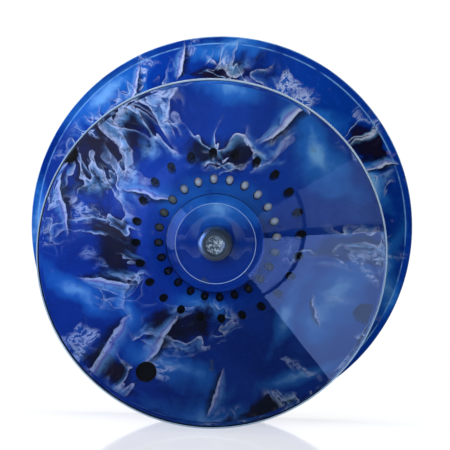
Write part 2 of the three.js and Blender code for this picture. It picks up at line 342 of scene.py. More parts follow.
def ramp(tree, value, stops):
    """Colour and share from a value. A stop is its place, its colour and its share."""
    node = put(tree, "ShaderNodeValToRGB", None, Fac=value)
    elements = node.color_ramp.elements
    while len(elements) < len(stops):
        elements.new(1.0)
    for element, (place_at, shade, share) in zip(elements, stops):
        element.position = place_at
        element.color = colour(*shade)[:3] + (share,)
    return node.outputs["Color"], node.outputs["Alpha"]


def flat_place(tree):
    """The place on the shell as (x, z, 0): the film is laid on from the front."""
    parts = put(tree, "ShaderNodeSeparateXYZ", None, Vector=object_mm(tree)).outputs
    return put(tree, "ShaderNodeCombineXYZ", None, X=parts[0], Y=parts[2], Z=0.0).outputs[0]


def blue_ground(tree, at, bent):
    """Royal blue with slow changes of depth and a fine mottle."""
    depth = step_between(tree, noise(tree, bent, 0.1, 4).outputs[0], 0.38, 0.6)
    shown = mix_colour(tree, depth, colour(*DEEP_ROYAL), colour(*ROYAL))
    mottle = step_between(tree, noise(tree, at, 1.1, 5, 0.65).outputs[0], 0.52, 0.8)
    return mix_colour(tree, math_node(tree, "MULTIPLY", mottle, 0.4), shown, colour(24, 88, 188))


def add_glows(tree, shown, near, ragged):
    """Soft azure clouds with paler wisps in them."""
    wisps = noise(tree, ragged, 0.3, 4, 0.6).outputs[0]
    near = math_node(tree, "ADD", near, math_node(tree, "MULTIPLY_ADD", wisps, -1.6, 0.8))
    shown = mix_colour(tree, math_node(tree, "MULTIPLY", step_between(tree, near, 1.7, 0.4), 0.9),
                       shown, colour(*AZURE))
    heart = math_node(tree, "MULTIPLY", step_between(tree, near, 0.7, -0.1), 0.75)
    return mix_colour(tree, heart, shown, colour(*PALE_AZURE))


def add_darks(tree, shown, near, bent, ragged):
    """Near-black clouds that fade to navy, with torn edges."""
    tear = noise(tree, ragged, 0.24, 5, 0.6).outputs[0]
    near = math_node(tree, "ADD", near, math_node(tree, "MULTIPLY_ADD", tear, 3.0, -1.5))
    warm = step_between(tree, noise(tree, bent, 0.16, 2).outputs[0], 0.5, 0.62)
    heart = mix_colour(tree, warm, colour(*NEAR_BLACK), colour(*BROWN_BLACK))
    tone = mix_colour(tree, step_between(tree, near, 0.5, 1.1), heart, colour(*NAVY))
    return mix_colour(tree, step_between(tree, near, 1.35, 0.75), shown, tone)


def add_silk(tree, shown, near, bent, seed_shift, width):
    """Long pale creases: a sharp edge on one side, a fade through azure on the other."""
    moved = vector_math(tree, "ADD", bent, (seed_shift, -seed_shift, 0)).outputs[0]
    field = noise(tree, moved, 0.075, 3, 0.55, 1.4).outputs[0]
    rise = math_node(tree, "MULTIPLY_ADD", field, 1 / width, 0.5 - 0.5 / width, clamp=True)
    stops = [
        (0.40, NAVY, 0.0), (0.485, NAVY, 0.8), (0.50, FROTH, 0.95), (0.53, FROTH, 0.8),
        (0.62, PALE_AZURE, 0.5), (0.8, AZURE, 0.0),
    ]
    shade, share = ramp(tree, rise, stops)
    patches = step_between(tree, noise(tree, moved, 0.13, 2).outputs[0], 0.43, 0.56)
    patchy = math_node(tree, "MULTIPLY", patches, step_between(tree, near, 2.0, 1.2))
    fibres = step_between(tree, noise(tree, bent, 1.6, 5, 0.7).outputs[0], 0.3, 0.6)
    kept = math_node(tree, "MULTIPLY", share, math_node(tree, "MULTIPLY", patchy, fibres))
    return mix_colour(tree, kept, shown, shade)


def add_folds(tree, shown, vector):
    """Leaf-shaped folds, pale on one side and dark on the other."""
    stops = [
        (0.05, NAVY, 0.0), (0.25, NEAR_BLACK, 0.7), (0.4, NEAR_BLACK, 0.95), (0.44, FROTH, 0.85),
        (0.52, FROTH, 0.75), (0.6, LAVENDER, 0.6), (0.7, PALE_AZURE, 0.5), (1.0, AZURE, 0.0),
    ]
    fibres = step_between(tree, noise(tree, vector, 1.1, 5, 0.7).outputs[0], 0.28, 0.5)
    for fold in FOLDS:
        along, across = on_cloud(tree, vector, fold)
        room = math_node(tree, "SUBTRACT", 1.0, math_node(tree, "MULTIPLY", along, along))
        share_across = math_node(tree, "DIVIDE", across, math_node(tree, "MAXIMUM", room, 0.01))
        place_across = math_node(tree, "MULTIPLY_ADD", share_across, 0.25, 0.5, clamp=True)
        shade, share = ramp(tree, place_across, stops)
        tips = math_node(tree, "MULTIPLY", step_between(tree, room, 0.0, 0.9), fibres)
        shown = mix_colour(tree, math_node(tree, "MULTIPLY", share, tips), shown, shade)
    return shown


def add_froth(tree, shown, bent, ragged):
    """Pale broken foam where a slow field of noise lets it through."""
    slow = step_between(tree, noise(tree, bent, 0.14, 2, 0.5, 0.6).outputs[0], 0.61, 0.7)
    room = math_node(tree, "MULTIPLY", slow, step_between(tree, from_axle(tree), 13.0, 16.0))
    field = noise(tree, ragged, 0.8, 5, 0.65).outputs[0]
    off_middle = math_node(tree, "ABSOLUTE", math_node(tree, "SUBTRACT", field, 0.5))
    foam = math_node(tree, "MULTIPLY", step_between(tree, off_middle, 0.08, 0.0), room)
    shown = mix_colour(tree, math_node(tree, "MULTIPLY", room, 0.35), shown, colour(*AZURE))
    return mix_colour(tree, math_node(tree, "MULTIPLY", foam, 0.75), shown, colour(*FROTH))


def add_flecks(tree, shown, bent):
    """A few small olive and lavender spots."""
    for tint, seed_shift in ((OLIVE, 40), (LAVENDER, 90)):
        moved = vector_math(tree, "ADD", bent, (seed_shift, seed_shift, 0)).outputs[0]
        spot = step_between(tree, noise(tree, moved, 0.3, 3).outputs[0], 0.67, 0.82)
        shown = mix_colour(tree, math_node(tree, "MULTIPLY", spot, 0.7), shown, colour(*tint))
    return shown


def print_pattern(tree):
    """Colour of the marbled film."""
    at = flat_place(tree)
    bent = shift_by_noise(tree, at, 0.12, 7.0, 3.0)
    ragged = shift_by_noise(tree, bent, 0.7, 1.6, 4.0)
    near_dark = cloud_distance(tree, bent, DARK_CLOUDS)
    shown = blue_ground(tree, at, bent)
    shown = add_glows(tree, shown, cloud_distance(tree, bent, AZURE_CLOUDS), ragged)
    shown = add_darks(tree, shown, near_dark, bent, ragged)
    shown = add_froth(tree, shown, bent, ragged)
    for seed_shift, width in ((0, 0.24), (60, 0.2), (120, 0.22)):
        shown = add_silk(tree, shown, near_dark, bent, seed_shift, width)
    creased = shift_by_noise(tree, shift_by_noise(tree, at, 0.2, 2.5), 1.0, 0.6, 4.0)
    shown = add_folds(tree, shown, creased)
    return add_flecks(tree, shown, bent)


def painted_edge_highlights(tree, shown):
    """Painted highlights: pale lines along the rim's two sharp edges, broken up by noise."""
    radius = from_axle(tree)
    highlight_breakup = step_between(tree, noise(tree, object_mm(tree), 0.35, 4).outputs[0], 0.3, 0.6)
    for edge_r, half_width in ((REAR_LIP_R, 0.16), (REAR_RIM_R, 0.14)):
        # painted highlight along each sharp edge
        off = math_node(tree, "ABSOLUTE", math_node(tree, "SUBTRACT", radius, edge_r))
        share = math_node(tree, "MULTIPLY", step_between(tree, off, half_width, 0.02), highlight_breakup)
        shown = mix_colour(tree, math_node(tree, "MULTIPLY", share, 0.75), shown, colour(*PALE_AZURE))
    return shown


def printed_material():
    """Glossy printed film, with painted highlights on the rim's sharp edges."""
    material = new_material("marbled_print")
    tree = material.node_tree
    peel = noise(tree, object_mm(tree), 0.6, 2).outputs[0]
    wear = step_between(tree, noise(tree, object_mm(tree), 0.4, 4).outputs[0], 0.3, 0.7)
    rough = math_node(tree, "MULTIPLY_ADD", wear, 0.1, 0.3)
    shown = painted_edge_highlights(tree, print_pattern(tree))
    shader = put(tree, "ShaderNodeBsdfPrincipled", None, Base_Color=shown, Roughness=rough,
                 Normal=bump(tree, peel, 0.05, 0.03))
    shader.inputs["Specular IOR Level"].default_value = 0.08
    surface_output(tree, shader.outputs[0])
    return material


# ------------------------------------------------------------------ other materials

def clear_material():
    """Polished clear plastic that bends what is seen through it, and lets lamps straight through."""
    material = new_material("clear_polycarbonate")
    tree = material.node_tree
    haze = noise(tree, object_mm(tree), 0.35, 3).outputs[0]
    glass = put(tree, "ShaderNodeBsdfGlass", None, Color=(0.985, 0.99, 1.0, 1), IOR=1.49,
                Roughness=math_node(tree, "MULTIPLY_ADD", haze, 0.004, 0.0))
    through = put(tree, "ShaderNodeBsdfTransparent", None, Color=(0.95, 0.97, 1.0, 1))
    lamp_ray = put(tree, "ShaderNodeLightPath").outputs["Is Shadow Ray"]
    shader = put(tree, "ShaderNodeMixShader", None, Fac=lamp_ray,
                 i1=glass.outputs[0], i2=through.outputs[0])
    surface_output(tree, shader.outputs[0])
    return material


def clear_edge_material():
    """The turned edges of the clear half, where the tool leaves the plastic frosty."""
    material = new_material("clear_turned_edge")
    tree = material.node_tree
    grain = noise(tree, object_mm(tree), 2.0, 3).outputs[0]
    frost = put(tree, "ShaderNodeBsdfDiffuse", None, Color=(0.55, 0.78, 1.0, 1))
    through = put(tree, "ShaderNodeBsdfTransparent", None, Color=(0.9, 0.95, 1.0, 1))
    share = math_node(tree, "MULTIPLY_ADD", grain, 0.3, 0.5)
    shader = put(tree, "ShaderNodeMixShader", None, Fac=share, i1=through.outputs[0], i2=frost.outputs[0])
    surface_output(tree, shader.outputs[0])
    return material


def turned_metal(name, tint, roughness, groove_strength=0.15):
    """Metal cut on a lathe: fine rings round the axle, and slightly uneven gloss."""
    material = new_material(name)
    tree = material.node_tree
    along = put(tree, "ShaderNodeSeparateXYZ", None, Vector=object_mm(tree)).outputs[1]
    rings_at = put(tree, "ShaderNodeCombineXYZ", None, X=from_axle(tree), Y=along, Z=0.0).outputs[0]
    rings = noise(tree, rings_at, 9.0, 3, 0.6).outputs[0]
    smudge = noise(tree, object_mm(tree), 0.7, 3).outputs[0]
    rough = math_node(tree, "ADD", math_node(tree, "MULTIPLY_ADD", rings, 0.16, roughness - 0.12),
                      math_node(tree, "MULTIPLY", smudge, 0.08))
    tone = mix_colour(tree, math_node(tree, "MULTIPLY", smudge, 0.5), tint, darker(tint, 0.72))
    shader = put(tree, "ShaderNodeBsdfPrincipled", None, Base_Color=tone, Metallic=1.0, Roughness=rough,
                 Normal=bump(tree, rings, groove_strength, 0.02))
    surface_output(tree, shader.outputs[0])
    return material


def socket_material():
    """Socket steel with painted bright glints among darker flakes, placed by noise."""
    material = new_material("socket_steel")
    tree = material.node_tree
    glint_and_bump_noise = noise(tree, object_mm(tree), 2.4, 4, 0.65, 0.8).outputs[0]
    # Painted highlight: near-white glints where the noise is high.
    painted_glints = step_between(tree, glint_and_bump_noise, 0.44, 0.58)
    tone = mix_colour(tree, painted_glints, colour(84, 106, 132), colour(212, 230, 246))
    shader = put(tree, "ShaderNodeBsdfPrincipled", None, Base_Color=tone, Metallic=0.3, Roughness=0.45,
                 Normal=bump(tree, glint_and_bump_noise, 0.5, 0.05))
    surface_output(tree, shader.outputs[0])
    return material


def moulded_plastic(name, tint, roughness):
    """Moulded plastic with a fine grain and faint clouds."""
    material = new_material(name)
    tree = material.node_tree
    grain = noise(tree, object_mm(tree), 5.0, 3).outputs[0]
    cloud = noise(tree, object_mm(tree), 0.25, 3).outputs[0]
    tone = mix_colour(tree, cloud, tint, darker(tint, 0.6))
    rough = math_node(tree, "MULTIPLY_ADD", grain, 0.16, roughness - 0.08)
    shader = put(tree, "ShaderNodeBsdfPrincipled", None, Base_Color=tone, Roughness=rough,
                 Normal=bump(tree, grain, 0.25, 0.02))
    surface_output(tree, shader.outputs[0])
    return material


def silicone_material():
    """Silicone with painted light and shade: pale grey on the top of the ring, through olive to near-black
    towards the bottom and the left.
    """
    material = new_material("silicone")
    tree = material.node_tree
    grain = noise(tree, object_mm(tree), 3.0, 3).outputs[0]
    height = vector_math(tree, "DOT_PRODUCT", object_mm(tree), (0.45, 0, 0.9)).outputs["Value"]
    # Painted shade and light: the tone goes from near-black low on the left, through olive, to pale grey
    # at the top.
    rise = step_between(tree, height, -7.0, 1.0)
    painted_shade_tone = mix_colour(tree, rise, colour(14, 16, 22), colour(84, 92, 84))
    painted_lit_tone = mix_colour(tree, grain, colour(168, 182, 190), colour(200, 208, 212))
    tone = mix_colour(tree, step_between(tree, height, 1.0, 6.0), painted_shade_tone, painted_lit_tone)
    shader = put(tree, "ShaderNodeBsdfPrincipled", None, Base_Color=tone, Roughness=0.55,
                 Normal=bump(tree, grain, 0.2, 0.03))
    shader.inputs["Subsurface Weight"].default_value = 0.3
    shader.inputs["Subsurface Scale"].default_value = 0.5 * MM
    surface_output(tree, shader.outputs[0])
    return material


PRINT = printed_material()
CLEAR = clear_material()
CLEAR_EDGE = clear_edge_material()
BEARING_STEEL = turned_metal("bearing_steel", colour(200, 202, 206), 0.2)
AXLE_STEEL = turned_metal("axle_steel", colour(180, 194, 208), 0.4, 0.5)
SOCKET_STEEL = socket_material()
SPACER_METAL = turned_metal("spacer_aluminium", colour(206, 208, 210), 0.28)
BRASS = turned_metal("cage_brass", colour(196, 160, 96), 0.35)
SILICONE = silicone_material()
BLACK_PLASTIC = moulded_plastic("black_plastic", colour(26, 26, 29), 0.45)


# ------------------------------------------------------------------ hub, shared by the halves

HUB_BORE_R = STUD_R + CLEARANCE
HUB_POCKET_Y = 3.35
BEARING_RECESS_R, BEARING_RECESS_Y = 6.55, 2.9
SOFT = 0.06                                     # rounding of the small edges that a tool leaves


# ------------------------------------------------------------------ clear front half

FRONT_FLANGE_R = 8.1                            # of the printed spacer behind the clear hub
FRONT_POCKET_R = FRONT_FLANGE_R + CLEARANCE
FRONT_WALL_FOOT_R = 8.3
FRONT_WALL_TOP = (25.0, 19.1)
FRONT_LIP_Y = 19.55
FRONT_DISH_R = 25.32                            # inner edge of the rim's narrow lip
FRONT_HUB_R, FRONT_HUB_Y = 5.95, 5.5
FRONT_FLOOR_BEND = (4.4, 5.1)                   # the hub's floor sinks to here, then to the bore
FRONT_FLOOR_Y = 5.0
FROST_DEPTH = 0.12                              # of the two frosted edges
POLISHED, FROSTED, PRINTED = range(3)           # the clear half's materials


def front_face_material(middle):
    """Which of the clear half's materials a face takes, from where its middle is."""
    radius = math.hypot(middle.x, middle.z)
    if abs(radius - FRONT_POCKET_R) < 0.02 and -HUB_POCKET_Y < middle.y < -GAP_HALF:
        return PRINTED                          # the flange's printed edge fills the pocket
    on_rim_edge = radius > FRONT_DISH_R - 0.05 and middle.y < -HALF_WIDTH + FROST_DEPTH
    on_hub_edge = abs(radius - FRONT_HUB_R) < 0.07 and middle.y < -FRONT_HUB_Y + FROST_DEPTH
    return FROSTED if on_rim_edge or on_hub_edge else POLISHED


def make_front_half():
    """A hollow cone of clear plastic with a small flat hub."""
    corners = [
        (HUB_BORE_R, HUB_POCKET_Y, 0),
        (FRONT_POCKET_R, HUB_POCKET_Y, 0.03),
        (FRONT_POCKET_R, GAP_HALF, 0.03),
        (FRONT_WALL_FOOT_R, GAP_HALF, 0.03),
        (*FRONT_WALL_TOP, 0.3),
        (FRONT_RIM_R, FRONT_LIP_Y, 0.2),
        (FRONT_RIM_R, HALF_WIDTH, 0.1),
        (FRONT_DISH_R, HALF_WIDTH, 0.08),
        (FRONT_HUB_R, FRONT_HUB_Y, 0.2),
        (*FRONT_FLOOR_BEND, 1.0),
        (HUB_BORE_R, FRONT_FLOOR_Y, 0.05),
    ]
    piece = turned("clear_front_half", mirrored(corners), FINE)
    finish_with(piece, CLEAR, CLEAR_EDGE, PRINT)
    for face in piece.data.polygons:
        face.material_index = front_face_material(face.center / MM)
    return place(piece, "halves", "clear_plastic", "front_half")


# ------------------------------------------------------------------ printed rear half

REAR_POCKET_R = 4.25
REAR_WALL_FOOT_R = 11.05
REAR_WALL_TOP_Y, REAR_LIP_Y = 19.9, 20.05
REAR_SEAT_R, REAR_SEAT_Y = 25.6, 19.3           # the cap's seat, in the mouth of the rear dish
REAR_MOUTH_R = 24.6
REAR_FLOOR = (12.0, 5.95)
REAR_BOSS_R, REAR_BOSS_Y, REAR_BOSS_FOOT_Y = 6.7, 9.4, 5.6
NUT_POCKET_R, NUT_POCKET_Y = 4.75, 4.9
VENT_COUNT, VENT_PHASE_DEG = 24, 4.4
OUTER_VENT = (12.1, 0.63, 1.0, 8.0)             # ring radius, hole radius, from y, to y
INNER_VENT = (9.2, 0.65, 1.0, 8.0)
RIM_HOLE = (21.8, 1.4, 10.0, 19.9)
RIM_HOLE_ANGLES_DEG = (156, 244, 331)


def drill(bm, hole, degrees, sides=28):
    """Adds one cutter along Y, with a point at its far end as a drill leaves."""
    ring_r, hole_r, from_y, to_y = hole
    centre = around(ring_r, degrees)
    near = ring_of_verts(bm, centre, hole_r, from_y, sides)
    far = ring_of_verts(bm, centre, hole_r, to_y, sides)
    tip = bm.verts.new((centre[0] * MM, (to_y + 0.5 * hole_r) * MM, centre[1] * MM))
    bm.faces.new(near)
    for k in range(sides):
        j = (k + 1) % sides
        bm.faces.new((near[k], near[j], far[j], far[k]))
        bm.faces.new((far[k], far[j], tip))


def hole_cutters():
    """One piece of all the cutters. Its faces leave the walls of the holes black."""
    def build(bm):
        for k in range(VENT_COUNT):
            degrees = VENT_PHASE_DEG + 360 * k / VENT_COUNT
            drill(bm, OUTER_VENT, degrees)
            drill(bm, INNER_VENT, degrees)
        for degrees in RIM_HOLE_ANGLES_DEG:
            drill(bm, RIM_HOLE, degrees, sides=40)
        for face in bm.faces:
            face.material_index = 1
    cutter = new_piece("hole_cutters", build)
    return finish_with(cutter, PRINT, BLACK_PLASTIC)


def cut_with(piece, cutter):
    """Cuts the piece with the cutter, applies the result and removes the cutter."""
    modifier = piece.modifiers.new("holes", "BOOLEAN")
    modifier.operation = "DIFFERENCE"
    modifier.solver = "EXACT"
    modifier.material_mode = "TRANSFER"
    modifier.object = cutter
    depsgraph = bpy.context.evaluated_depsgraph_get()
    result = bpy.data.meshes.new_from_object(piece.evaluated_get(depsgraph))
    piece.modifiers.clear()
    piece.data = result
    bpy.data.objects.remove(cutter)
    result.set_sharp_from_angle(angle=math.radians(SHARP_DEG))


def make_rear_half():
    """The printed half, with two rings of small holes and three larger ones near its rim."""
    corners = [
        (HUB_BORE_R, HUB_POCKET_Y, 0),
        (REAR_POCKET_R, HUB_POCKET_Y, SOFT),
        (REAR_POCKET_R, BEARING_RECESS_Y, SOFT),
        (BEARING_RECESS_R, BEARING_RECESS_Y, SOFT),
        (BEARING_RECESS_R, GAP_HALF, SOFT),
        (REAR_WALL_FOOT_R, GAP_HALF, 2.6),
        (REAR_LIP_R, REAR_WALL_TOP_Y, 0.1),
        (REAR_RIM_R, REAR_LIP_Y, 0.16),
        (REAR_RIM_R, HALF_WIDTH, 0.16),
        (REAR_SEAT_R, HALF_WIDTH, 0.25),
        (REAR_SEAT_R, REAR_SEAT_Y, 0.1),
        (REAR_MOUTH_R, REAR_SEAT_Y, 0.2),
        (*REAR_FLOOR, 1.0),
        (REAR_BOSS_R, REAR_BOSS_FOOT_Y, 0.5),
        (REAR_BOSS_R, REAR_BOSS_Y, 0.3),
        (NUT_POCKET_R, REAR_BOSS_Y, 0.1),
        (NUT_POCKET_R, NUT_POCKET_Y, 0),
        (HUB_BORE_R, NUT_POCKET_Y, 0),
    ]
    piece = turned("printed_rear_half", corners, FINE)
    finish_with(piece, PRINT)
    cut_with(piece, hole_cutters())
    return place(piece, "halves", "printed_shell", "rear_half")


# ------------------------------------------------------------------ cap, response ring, spacers

CAP_R, CAP_BACK_Y = 25.3, 19.6
CAP_RIM_Y, CAP_FACE_Y, CAP_GROOVE_Y = 20.85, 20.45, 20.2
CAP_RIM_R, CAP_FACE_R = 23.9, 23.2              # inner edge of the raised rim, and its foot
CAP_GROOVE_INNER_R, CAP_GROOVE_OUTER_R, CAP_GROOVE_SLOPE = 8.6, 13.6, 0.4


def make_rear_cap():
    """A disc with a raised rim and one broad shallow groove."""
    corners = [
        (0, CAP_BACK_Y, 0),
        (CAP_R, CAP_BACK_Y, 0.1),
        (CAP_R, CAP_RIM_Y, 0.2),
        (CAP_RIM_R, CAP_RIM_Y, 0.3),
        (CAP_FACE_R, CAP_FACE_Y, 0.4),
        (CAP_GROOVE_OUTER_R + CAP_GROOVE_SLOPE, CAP_FACE_Y, 0.3),
        (CAP_GROOVE_OUTER_R, CAP_GROOVE_Y, 0.3),
        (CAP_GROOVE_INNER_R, CAP_GROOVE_Y, 0.3),
        (CAP_GROOVE_INNER_R - CAP_GROOVE_SLOPE, CAP_FACE_Y, 0.3),
        (0, CAP_FACE_Y, 0),
    ]
    piece = turned("rear_cap_disc", corners, FINE, closed=False)
    return place(finish_with(piece, BLACK_PLASTIC), "halves", "black_plastic", "rear_cap")


GRIP_STUD = (INNER_VENT[0], 0.59, 2.45, 6.0)    # ring radius, radius, from y, to y


def add_stud(bm, degrees, sides=20, dome_steps=5):
    """One grip stud with a domed tip, standing along Y in a hole of the inner ring."""
    ring_r, radius, from_y, to_y = GRIP_STUD
    centre = around(ring_r, degrees)
    profile = []
    for k in range(1, dome_steps + 1):
        angle = TAU / 4 * k / dome_steps
        profile.append((radius * math.sin(angle), from_y + radius * (1 - math.cos(angle))))
    profile.append((radius, to_y))
    rings = [ring_of_verts(bm, centre, r, y, sides) for r, y in profile]
    tip = bm.verts.new((centre[0] * MM, from_y * MM, centre[1] * MM))
    for i in range(sides):
        bm.faces.new((tip, rings[0][i], rings[0][(i + 1) % sides]))
    skin(bm, rings, closed=False)
    bm.faces.new(rings[-1])


def make_response_ring():
    """A silicone ring behind the rear face, with a stud through each hole of the inner ring."""
    inner_r, outer_r, low, high = 8.3, 10.1, 5.7, 6.7
    corners = [(inner_r, low, 0.1), (outer_r, low, 0.1), (outer_r, high, 0.2), (inner_r, high, 0.2)]
    ring = turned("response_ring_body", corners, FINE)

    def build(bm):
        for k in range(VENT_COUNT):
            add_stud(bm, VENT_PHASE_DEG + 360 * k / VENT_COUNT)

    studs = new_piece("response_ring_studs", build)
    for piece in (ring, studs):
        finish_with(piece, SILICONE)
    place(ring, "halves", "silicone_pad", "response_ring")
    place(studs, "halves", "silicone_pad")


SPACER_SEAT_R, SPACER_COLLAR_R = 3.12, 4.15
SPACER_SEAT_Y, SPACER_COLLAR_Y, SPACER_FLANGE_Y, SPACER_BACK_Y = 0.15, 2.41, 2.75, 3.27


def make_spacers():
    """Sleeves that carry the bearing. The front one has a wide printed flange."""
    seat = [
        (HUB_BORE_R, SPACER_SEAT_Y, 0.05),
        (SPACER_SEAT_R, SPACER_SEAT_Y, 0.12),
        (SPACER_SEAT_R, SPACER_COLLAR_Y, 0.03),
        (SPACER_COLLAR_R, SPACER_COLLAR_Y, 0.1),
    ]
    flange = [
        (SPACER_COLLAR_R, SPACER_FLANGE_Y, 0.05),
        (FRONT_FLANGE_R, SPACER_FLANGE_Y, 0.1),
        (FRONT_FLANGE_R, SPACER_BACK_Y, 0.1),
    ]
    bore_end = (HUB_BORE_R, SPACER_BACK_Y, 0.05)
    front = seat + flange + [bore_end]
    rear = seat + [(SPACER_COLLAR_R, SPACER_BACK_Y, 0.1), bore_end]
    piece = turned("front_spacer_sleeve", mirrored(front))
    place(finish_with(piece, PRINT), "halves", "printed_shell", "front_spacer")
    piece = turned("rear_spacer_sleeve", rear)
    place(finish_with(piece, SPACER_METAL), "halves", "spacer_aluminium", "rear_spacer")


# ------------------------------------------------------------------ axle stud and nut

THREAD_PITCH, THREAD_DEPTH = 0.8, 0.32
THREAD_FLANK = 2.3                              # steepness of the thread's sides
THREAD_STEPS = 8                                # rings for each turn of the thread
THREAD_FROM_Y, THREAD_TO_Y = -5.4, STUD_REAR_Y - 0.6
SOCKET_FLATS, SOCKET_DEPTH = 2.3, 1.2
SOCKET_CORNER_R = 1.3


def hexagon(angle, across_flats):
    """Distance from the centre to the side of a hexagon at an angle."""
    turn = (angle % (TAU / 6)) - TAU / 12
    return across_flats / 2 / math.cos(turn)


def thread_radius(angle, y):
    """The stud's radius on its screw thread, which fades in and out at its ends."""
    phase = (y / THREAD_PITCH - angle / TAU) % 1
    fade = min(1, max(0, (y - THREAD_FROM_Y) / THREAD_PITCH), max(0, (THREAD_TO_Y - y) / THREAD_PITCH))
    return STUD_R - THREAD_DEPTH * fade * min(1, THREAD_FLANK * abs(phase - 0.5))


def circle_ring(radius, y):
    return lambda angle: (radius, y)


def make_axle_stud():
    """A threaded stud with a hexagonal socket in its front end."""
    front, rear = STUD_FRONT_Y, STUD_REAR_Y
    socket_r, floor_y = SOCKET_FLATS / 2, STUD_FRONT_Y + SOCKET_DEPTH
    socket = [
        circle_ring(0, floor_y + 0.2),
        lambda angle: (0.45, floor_y + 0.12 * math.sin(5 * angle)),
        lambda angle: (0.8, floor_y + 0.1 * math.sin(7 * angle + 1)),
        lambda angle: (hexagon(angle, SOCKET_FLATS), floor_y),
        lambda angle: (hexagon(angle, SOCKET_FLATS), front + 0.25),
        circle_ring(socket_r + 0.22, front + 0.04),
        circle_ring(socket_r + 0.34, front),
    ]
    groove_round_it = [
        circle_ring(socket_r + 0.4, front + 0.3),
        circle_ring(socket_r + 0.5, front + 0.3),
        circle_ring(socket_r + 0.56, front),
    ]
    rounded_end = [
        circle_ring(STUD_R - 0.52, front + 0.03),
        circle_ring(STUD_R - 0.07, front + 0.42),
        circle_ring(STUD_R, front + 0.55),
    ]
    rings = socket + groove_round_it + rounded_end
    steps = int((THREAD_TO_Y - THREAD_FROM_Y) / THREAD_PITCH * THREAD_STEPS)
    for k in range(steps + 1):
        y = THREAD_FROM_Y + (THREAD_TO_Y - THREAD_FROM_Y) * k / steps
        rings.append(lambda angle, y=y: (thread_radius(angle, y), y))
    rings += [circle_ring(STUD_R - 0.5, rear), circle_ring(0, rear)]
    piece = lofted("axle_screw", rings, SMALL, closed=False, sharp_deg=38)
    finish_with(piece, AXLE_STEEL, SOCKET_STEEL)
    for face in piece.data.polygons:
        middle = face.center / MM
        if math.hypot(middle.x, middle.z) < SOCKET_CORNER_R and middle.y < 0:
            # the socket's material carries painted bright glints
            face.material_index = 1             # the socket, rough from the broach
    return place(piece, "halves", "axle_steel", "axle_stud")


def make_rear_nut():
    """A hexagon nut with bevelled corners."""
    flats, chamfer, bore_r = 8.0, 0.45, HUB_BORE_R
    low, high = (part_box("rear_nut")[k].y / MM for k in (0, 1))
    bevel_r = flats / 2 * 0.97

    def body(y, inset):
        return lambda angle: (min(hexagon(angle + TAU / 12, flats), flats / math.sqrt(3) - inset), y)

    rings = [
        circle_ring(bore_r, low),
        circle_ring(bevel_r, low),
        body(low + chamfer * 0.6, 0.3),
        body(low + chamfer, 0.0),
        body(high - chamfer, 0.0),
        body(high - chamfer * 0.6, 0.3),
        circle_ring(bevel_r, high),
        circle_ring(bore_r + 0.3, high),
        circle_ring(bore_r, high - 0.3),
    ]
    piece = lofted("rear_hex_nut", rings)
    return place(finish_with(piece, AXLE_STEEL), "halves", "axle_steel", "rear_nut")


# ------------------------------------------------------------------ bearing

BEARING_HALF, BEARING_OUTER_R, BEARING_BORE_R = 2.38, 6.35, 3.175
BALL_COUNT, BALL_R = 10, 0.794
INNER_SHOULDER_R, OUTER_SHOULDER_R = 4.2, 5.32  # the races beside their ball grooves
GROOVE_EDGE_Y, GROOVE_HAUNCH_Y = 0.62, 0.4
SHIELD_SEAT_R, SHIELD_SEAT_Y = 5.92, 1.78


def race_profile(side, shoulder_r, haunch_r, floor_r):
    """A race with a ball groove in its middle, and the same side in front as behind."""
    rear = [(shoulder_r, GROOVE_EDGE_Y, 0)] + side
    groove = [(haunch_r, -GROOVE_HAUNCH_Y, 0.2), (floor_r, 0, 0.6), (haunch_r, GROOVE_HAUNCH_Y, 0.2)]
    return mirrored(rear)[::-1] + groove + rear


def make_races():
    inner_side = [
        (INNER_SHOULDER_R, BEARING_HALF, 0.1),
        (BEARING_BORE_R, BEARING_HALF, 0.15),
    ]
    outer_side = [
        (OUTER_SHOULDER_R, SHIELD_SEAT_Y, 0.05),
        (SHIELD_SEAT_R, SHIELD_SEAT_Y, 0.03),
        (SHIELD_SEAT_R, BEARING_HALF, 0.08),
        (BEARING_OUTER_R, BEARING_HALF, 0.22),
    ]
    inner = race_profile(inner_side, INNER_SHOULDER_R, 3.98, 3.93)
    outer = race_profile(outer_side, OUTER_SHOULDER_R, 5.55, 5.6)
    piece = turned("inner_race_ring", inner)
    place(finish_with(piece, BEARING_STEEL), "halves", "bearing_steel", "bearing_inner_race")
    piece = turned("outer_race_ring", outer)
    place(finish_with(piece, BEARING_STEEL), "bearing_ring", "bearing_steel", "bearing_outer_race")


def make_shields():
    """Thin pressed discs, with a small step up to the edge that sits in the outer ring."""
    inner_r, outer_r = 4.4, 5.84
    web_low, web_high, edge_low, edge_high = 1.85, 2.0, 1.9, 2.08
    corners = [
        (inner_r, web_low, 0.05),
        (5.2, web_low, 0.2),
        (5.35, edge_low, 0.1),
        (outer_r, edge_low, 0.05),
        (outer_r, edge_high, 0.05),
        (5.3, edge_high, 0.1),
        (5.15, web_high, 0.2),
        (inner_r, web_high, 0.05),
    ]
    for side, profile in (("front", mirrored(corners)), ("rear", corners)):
        piece = turned(f"{side}_shield_disc", profile)
        place(finish_with(piece, BEARING_STEEL), "bearing_ring", "bearing_steel", f"bearing_{side}_shield")


